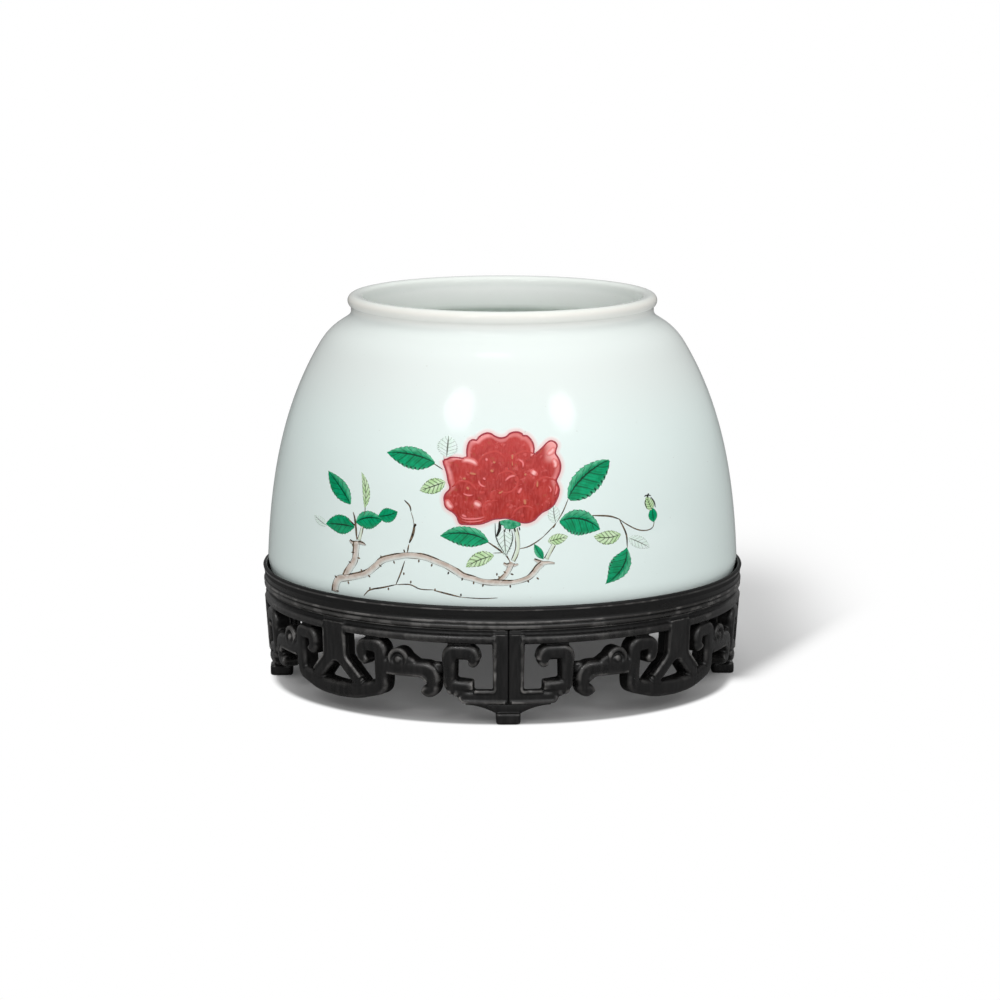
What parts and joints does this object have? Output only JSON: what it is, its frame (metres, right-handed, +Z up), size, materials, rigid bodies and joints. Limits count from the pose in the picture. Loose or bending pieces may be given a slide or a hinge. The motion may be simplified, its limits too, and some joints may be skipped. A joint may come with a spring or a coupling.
{
  "type": "water coupe",
  "caption": "Porcelain scholar's water pot of beehive form with a painted flower spray, standing in a turned seat ring over a carved openwork hardwood apron on block feet.",
  "frame": {"origin": "on the table, under the middle of the stand", "axes": "+Z up along the pot's turning axis; -Y is the front, where the painted spray is; +X is to the viewer's right"},
  "size_m": [0.1226, 0.1226, 0.0985],
  "materials": {
    "porcelain": "gloss",
    "hardwood": "waxed",
    "peg_wood": "raw"
  },
  "bodies": {
    "stand": {"seat_ring": "hardwood", "seat_board": "hardwood", "apron_pegs": "peg_wood", "apron_front_right": "hardwood", "apron_back_right": "hardwood", "apron_back_left": "hardwood", "apron_front_left": "hardwood", "foot_front": "hardwood", "foot_right": "hardwood", "foot_back": "hardwood", "foot_left": "hardwood"},
    "pot": {"water_pot": "porcelain"}
  },
  "joints": [
    {"name": "pot_lift", "type": "slide", "parent": "stand", "child": "pot", "axis": [0, 0, 1], "range_m": [0, 0.1]}
  ]
}
